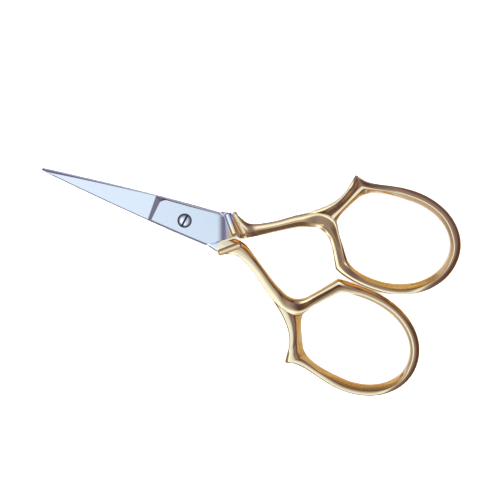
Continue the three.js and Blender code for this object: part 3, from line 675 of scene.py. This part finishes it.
# A half is one forging: its handle and its blade are joined, and then parted at the plating line.
BLADE_CREASE, HANDLE_CREASE = 18.0, 30.0
for half, side in (("front", 1), ("back", -1)):
    blade = blades[half]
    foot = side * BOW_CONTACT_Y + BOW_GAP / 2
    fuller = BACK_FULLER if half == "back" else 0.0
    first_ring = forged_rings(*ring_edges(FIRST_RING, FIRST_RING_WIDTH, RING), full_height)
    depth = first_ring[..., 2]
    first_ring[..., 2] = np.maximum(depth, RING_FLOOR + RING_LEFT * depth)
    shells = [
        forged_rings(*bar_edges(half, foot, fuller), collar_height),
        forged_rings(*channel_edges(side, fuller), full_height),
        first_ring,
        forged_rings(*ring_edges(SECOND_RING, SECOND_RING_WIDTH, DEEP_RING), full_height),
    ]
    handle, *others = [closed_loft(half + "_handle_piece", placed(points, side)) for points in shells]
    for other in others:
        combined(handle, other, "UNION")
    combined(handle, side_block((0.0, foot), (1.0, foot), side), "DIFFERENCE")
    combined(handle, blade, "UNION", keep_tool=True)
    blade.data = handle.data.copy()
    combined(blade, side_block(*PLATING_LINE[half], 1), "DIFFERENCE")
    combined(handle, side_block(*PLATING_LINE[half], 1), "INTERSECT")
    finished(blade, steel, BLADE_CREASE)
    finished(handle, gold, HANDLE_CREASE)
    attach(blade, half + "_half")
    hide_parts(half + "_blade")
    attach(handle, half + "_half")
    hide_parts(half + "_handle")

# Pivot screw
# A turned steel screw: a slotted head sunk in the front flat, a plain neck that the front half turns on,
# and a thread that holds in the back half.
DOME_RADIUS, DOME_DROP, RIM_DROP = 1.0, 0.12, 0.19
DOME_MIDDLE, DOME_STEPS = 0.05, 8
SCREW_END = -HALF_THICKNESS + 0.1
END_RADIUS = 0.25  # the thread's end is a flat ring round this
NECK_END = -MATING_Z + BORE_CLEARANCE
HEAD_UNDERSIDE = HEAD_SEAT + BORE_CLEARANCE
SCREW_STEPS = 64
SCREW_CREASE = 25.0
SLOT_TURN = math.radians(83.0)
SLOT_WIDTH, SLOT_REACH = 0.45, 2.0
SLOT_FLOOR, CUTTER_TOP = -0.45, 0.35  # from the top of the head
dome = np.linspace(DOME_RADIUS, DOME_MIDDLE, DOME_STEPS)
screw = turned("pivot_screw_piece", [
    [END_RADIUS, SCREW_END],
    [THREAD_RADIUS, SCREW_END],
    [THREAD_RADIUS, NECK_END],
    [NECK_RADIUS, NECK_END],
    [NECK_RADIUS, HEAD_UNDERSIDE],
    [HEAD_RADIUS, HEAD_UNDERSIDE],
    [HEAD_RADIUS, HEAD_TOP - DOME_DROP - RIM_DROP],
    *np.column_stack([dome, HEAD_TOP - DOME_DROP * (dome / DOME_RADIUS) ** 2]),
], pivot, 1, SCREW_STEPS)
along = np.array([math.cos(SLOT_TURN), math.sin(SLOT_TURN)])
across = np.array([-along[1], along[0]]) * SLOT_WIDTH / 2
ends = pivot + np.array([[-SLOT_REACH], [SLOT_REACH]]) * along
slot_corners = [(-1, SLOT_FLOOR), (1, SLOT_FLOOR), (1, CUTTER_TOP), (-1, CUTTER_TOP)]
slot_rings = np.stack([
    np.column_stack([ends + way * across, np.full(2, HEAD_TOP + height)]) for way, height in slot_corners
], axis=1)
combined(screw, closed_loft("slot_cutter", placed(slot_rings, 1)), "DIFFERENCE")

# Turned steel: rings left by the tool round its middle, and painted near black in the slot and below the rim.
SCREW_DARK, SCREW_LIGHT = (0.74, 0.75, 0.78), (0.82, 0.83, 0.86)
SCREW_BLACK = (0.04, 0.04, 0.05)
BLACK_FROM, PLAIN_FROM = HEAD_TOP - 0.34, HEAD_TOP - 0.24
TURNING_PITCH = 0.09
SCREW_CLOUDS = (900.0, 900.0, 900.0)
SCREW_ROUGHNESS = (0.10, 0.18)
SCREW_RELIEF = 3e-7
screw_steel, tree, shader, place = new_material("screw_steel")
parts = node(tree, "SeparateXYZ", Vector=place)
wound = computed(tree, "MULTIPLY", from_pivot(tree, place), 2 * math.pi / (TURNING_PITCH * MM))
rings = computed(tree, "SINE", wound)
cloud = noise(tree, place, SCREW_CLOUDS)
black_low, black_high = (HALF_THICKNESS + BLACK_FROM) * MM, (HALF_THICKNESS + PLAIN_FROM) * MM
# Painted near black below a height: the slot's floor and the head's side under its rim.
near_black = ranged(tree, parts.outputs["Z"], black_low, black_high, 1.0, 0.0)
colour = mixed(tree, near_black, mixed(tree, cloud, SCREW_DARK, SCREW_LIGHT), SCREW_BLACK)
roughness = ranged(tree, cloud, NOISE_LOW, NOISE_HIGH, *SCREW_ROUGHNESS)
dressed(tree, shader, colour, roughness, rings, SCREW_RELIEF)
finished(screw, screw_steel, SCREW_CREASE)
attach(screw, "back_half")
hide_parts("pivot_screw")

# Table top, light and camera
# The scissors lie on a plain white table in soft light, seen from straight above. The metal doesn't mirror
# the table or the softbox, but a sky that is pale on one side and dark on the other, also below the horizon.
TABLE_REACH = 2.0
TABLE_TOP = -2e-5  # just under the scissors
TABLE_DARK, TABLE_LIGHT = (0.89, 0.89, 0.89), (0.91, 0.91, 0.91)
TABLE_MOTTLE = (40.0, 40.0, 40.0)
TABLE_ROUGHNESS = (0.65, 0.75)
TABLE_RELIEF = 1e-6
TABLE_GLOW = 0.3
ways = [(-1, -1), (1, -1), (1, 1), (-1, 1)]
corners = [(x * TABLE_REACH, y * TABLE_REACH, TABLE_TOP) for x, y in ways]
floor_mesh = bpy.data.meshes.new("table_top")
floor_mesh.from_pydata(corners, [], [(0, 1, 2, 3)])
table_top = bpy.data.objects.new("table_top", floor_mesh)
table_top.visible_glossy = False
bpy.context.scene.collection.objects.link(table_top)
white_table, tree, shader, place = new_material("white_table", metallic=0.0)
mottle = noise(tree, place, TABLE_MOTTLE)
colour = mixed(tree, mottle, TABLE_DARK, TABLE_LIGHT)
roughness = ranged(tree, mottle, NOISE_LOW, NOISE_HIGH, *TABLE_ROUGHNESS)
dressed(tree, shader, colour, roughness, mottle, TABLE_RELIEF)
shader.inputs["Emission Color"].default_value = (1.0, 1.0, 1.0, 1.0)
shader.inputs["Emission Strength"].default_value = TABLE_GLOW
floor_mesh.materials.append(white_table)

IMAGE_ANGLE = math.radians(20.676)  # turn of the picture's sides from the row's axes
PANEL_SIDE = math.radians(215.0)  # where the big white panel stands, as an angle in the picture
PANEL_NONE, PANEL_FULL = -0.25, 0.45  # how far a direction points to that side
BACKDROP = (0.48, 0.48, 0.48)  # what the camera itself sees beyond the table
LIGHT_STRENGTH = 2.0
# The sky's colours by height of direction, from straight down (0) to straight up (1).
PANEL_SKY = [
    (0.0, (0.48, 0.60, 1.00)), (0.47, (0.48, 0.60, 0.95)), (0.54, (0.36, 0.36, 0.45)),
    (0.60, (0.15, 0.135, 0.15)), (0.68, (0.065, 0.05, 0.055)), (0.76, (0.105, 0.09, 0.11)),
    (0.835, (0.18, 0.175, 0.245)), (0.90, (0.33, 0.34, 0.40)), (0.955, (0.76, 0.83, 0.89)),
    (1.0, (0.76, 0.83, 0.89)),
]
DARK_SKY = [
    (0.0, (0.40, 0.38, 0.36)), (0.25, (0.36, 0.33, 0.30)), (0.42, (0.265, 0.22, 0.165)),
    (0.50, (0.175, 0.14, 0.10)), (0.58, (0.09, 0.065, 0.05)), (0.66, (0.055, 0.035, 0.035)),
    (0.72, (0.05, 0.03, 0.035)), (0.835, (0.125, 0.11, 0.19)), (0.88, (0.15, 0.135, 0.18)),
    (0.93, (0.19, 0.175, 0.21)), (0.975, (0.31, 0.345, 0.415)), (1.0, (0.31, 0.37, 0.46)),
]


def sky_colours(tree, height, stops):
    """The colours of the stops, looked up at a height."""
    ramp = node(tree, "ValToRGB", Fac=height)
    elements = ramp.color_ramp.elements
    while len(elements) < len(stops):
        elements.new(0.5)
    for element, (place, colour) in zip(elements, stops):
        element.position = place
        element.color = (*colour, 1.0)
    return ramp.outputs["Color"]


world = bpy.data.worlds.new("studio")
world.use_nodes = True
tree = world.node_tree
direction = tree.nodes.new("ShaderNodeTexCoord").outputs["Generated"]
parts = node(tree, "SeparateXYZ", Vector=direction)
height = node(tree, "MapRange", Value=parts.outputs["Z"], From_Min=-1.0).outputs["Result"]
panel_angle = PANEL_SIDE + IMAGE_ANGLE
panel_way = (math.cos(panel_angle), math.sin(panel_angle), 0.0)
towards = computed(tree, "DOT_PRODUCT", direction, panel_way, "VectorMath")
towards = ranged(tree, towards, PANEL_NONE, PANEL_FULL, 0.0, 1.0)
room = mixed(tree, towards, sky_colours(tree, height, DARK_SKY), sky_colours(tree, height, PANEL_SKY))
ray = tree.nodes.new("ShaderNodeLightPath")
seen = mixed(tree, ray.outputs["Is Camera Ray"], room, BACKDROP)
background = tree.nodes["Background"]
background.inputs["Strength"].default_value = LIGHT_STRENGTH
tree.links.new(seen, background.inputs["Color"])
bpy.context.scene.world = world
bpy.context.scene.view_settings.view_transform = "Standard"

SOFTBOX_SIZE, SOFTBOX_POWER, SOFTBOX_HEIGHT = 1.2, 30.0, 1.0
softbox_data = bpy.data.lights.new("softbox", "AREA")
softbox_data.shape = "SQUARE"
softbox_data.size = SOFTBOX_SIZE
softbox_data.energy = SOFTBOX_POWER
softbox = bpy.data.objects.new("softbox", softbox_data)
softbox.location = (0.0, 0.0, SOFTBOX_HEIGHT)
softbox.visible_glossy = False
softbox.visible_camera = False
bpy.context.scene.collection.objects.link(softbox)

CAMERA_HEIGHT = 0.45  # above the plane between the halves
VIEW_WIDTH = 0.1053  # of that plane, across the picture
VIEW_X, VIEW_Y = 2.65, -1.53  # millimetres in the row's frame
SENSOR_WIDTH = 36.0
camera_data = bpy.data.cameras.new("camera")
camera_data.sensor_width = SENSOR_WIDTH
camera_data.lens = SENSOR_WIDTH * CAMERA_HEIGHT / VIEW_WIDTH
camera_data.clip_start = 0.01
camera_data.clip_end = 10.0
camera = bpy.data.objects.new("camera", camera_data)
camera.location = (VIEW_X * MM, VIEW_Y * MM, HALF_THICKNESS * MM + CAMERA_HEIGHT)
camera.rotation_euler = (0.0, 0.0, IMAGE_ANGLE)
bpy.context.scene.collection.objects.link(camera)
bpy.context.scene.camera = camera
